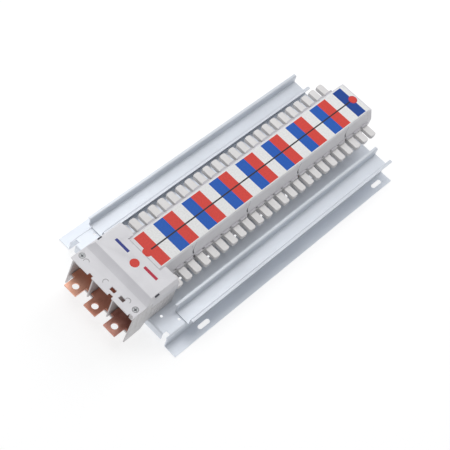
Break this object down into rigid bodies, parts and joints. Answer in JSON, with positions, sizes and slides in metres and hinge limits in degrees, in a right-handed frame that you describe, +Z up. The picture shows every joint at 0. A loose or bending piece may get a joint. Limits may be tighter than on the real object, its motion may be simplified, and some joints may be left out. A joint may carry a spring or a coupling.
{
  "type": "distribution board busbar chassis",
  "caption": "Three-phase busbar chassis for a breaker panel: steel pan, two top-hat rails, covered copper bars with shielded fingers on both sides, and a barriered terminal block.",
  "frame": {"origin": "under the middle of the whole object, on the plane of the flanges' undersides", "axes": "+X runs along the chassis from the incoming tags to the end cap, +Y across it to the far rail, +Z up from the pan"},
  "size_m": [0.539, 0.234, 0.0765],
  "materials": {
    "painted_steel": "smooth light blue-grey zinc plating or paint",
    "rail_steel": "bright zinc-plated strip",
    "copper": "bare copper, slightly dulled",
    "grey_plastic": "moulded light warm grey",
    "cover_plastic": "moulded light grey",
    "spacer_plastic": "dark insulating strip",
    "label_film": "printed film with red, white and blue bands",
    "screw_steel": "zinc-plated"
  },
  "bodies": {
    "chassis": {"pan": "painted_steel", "rail_near": "rail_steel", "rail_far": "rail_steel", "phase_bar_L1": "copper", "phase_bar_L2": "copper", "phase_bar_L3": "copper", "phase_spacer_lower": "spacer_plastic", "phase_spacer_upper": "spacer_plastic", "busbar_support_1": "grey_plastic", "busbar_support_2": "grey_plastic", "busbar_support_3": "grey_plastic", "busbar_support_4": "grey_plastic", "busbar_support_5": "grey_plastic", "busbar_cover_1": "cover_plastic", "busbar_cover_2": "cover_plastic", "busbar_cover_3": "cover_plastic", "busbar_cover_4": "cover_plastic", "busbar_cover_5": "cover_plastic", "end_cap": "cover_plastic", "phase_label": "label_film", "terminal_base": "grey_plastic"},
    "terminal_cover": {"terminal_cover": "cover_plastic"},
    "cover_screw_near": {"cover_screw_near": "screw_steel"},
    "cover_screw_far": {"cover_screw_far": "screw_steel"},
    "finger_shields_near_1": {"finger_shields_near_1": "grey_plastic"},
    "finger_shields_near_2": {"finger_shields_near_2": "grey_plastic"},
    "finger_shields_near_3": {"finger_shields_near_3": "grey_plastic"},
    "finger_shields_near_4": {"finger_shields_near_4": "grey_plastic"},
    "finger_shields_near_5": {"finger_shields_near_5": "grey_plastic"},
    "finger_shields_far_1": {"finger_shields_far_1": "grey_plastic"},
    "finger_shields_far_2": {"finger_shields_far_2": "grey_plastic"},
    "finger_shields_far_3": {"finger_shields_far_3": "grey_plastic"},
    "finger_shields_far_4": {"finger_shields_far_4": "grey_plastic"},
    "finger_shields_far_5": {"finger_shields_far_5": "grey_plastic"}
  },
  "joints": [
    {"name": "terminal_cover_lift", "type": "slide", "parent": "chassis", "child": "terminal_cover", "axis": [0, 0, 1], "range_m": [0, 0.04]},
    {"name": "cover_screw_near_turn", "type": "hinge", "parent": "terminal_cover", "child": "cover_screw_near", "pos_m": [-0.2425, -0.0515, 0.0686], "axis": [0, 0, 1], "continuous": true},
    {"name": "cover_screw_far_turn", "type": "hinge", "parent": "terminal_cover", "child": "cover_screw_far", "pos_m": [-0.2425, 0.0515, 0.0686], "axis": [0, 0, 1], "continuous": true},
    {"name": "finger_shields_near_1_pull", "type": "slide", "parent": "chassis", "child": "finger_shields_near_1", "axis": [0, -1, 0], "range_m": [0, 0.026]},
    {"name": "finger_shields_near_2_pull", "type": "slide", "parent": "chassis", "child": "finger_shields_near_2", "axis": [0, -1, 0], "range_m": [0, 0.026]},
    {"name": "finger_shields_near_3_pull", "type": "slide", "parent": "chassis", "child": "finger_shields_near_3", "axis": [0, -1, 0], "range_m": [0, 0.026]},
    {"name": "finger_shields_near_4_pull", "type": "slide", "parent": "chassis", "child": "finger_shields_near_4", "axis": [0, -1, 0], "range_m": [0, 0.026]},
    {"name": "finger_shields_near_5_pull", "type": "slide", "parent": "chassis", "child": "finger_shields_near_5", "axis": [0, -1, 0], "range_m": [0, 0.026]},
    {"name": "finger_shields_far_1_pull", "type": "slide", "parent": "chassis", "child": "finger_shields_far_1", "axis": [0, 1, 0], "range_m": [0, 0.026]},
    {"name": "finger_shields_far_2_pull", "type": "slide", "parent": "chassis", "child": "finger_shields_far_2", "axis": [0, 1, 0], "range_m": [0, 0.026]},
    {"name": "finger_shields_far_3_pull", "type": "slide", "parent": "chassis", "child": "finger_shields_far_3", "axis": [0, 1, 0], "range_m": [0, 0.026]},
    {"name": "finger_shields_far_4_pull", "type": "slide", "parent": "chassis", "child": "finger_shields_far_4", "axis": [0, 1, 0], "range_m": [0, 0.026]},
    {"name": "finger_shields_far_5_pull", "type": "slide", "parent": "chassis", "child": "finger_shields_far_5", "axis": [0, 1, 0], "range_m": [0, 0.026]}
  ]
}
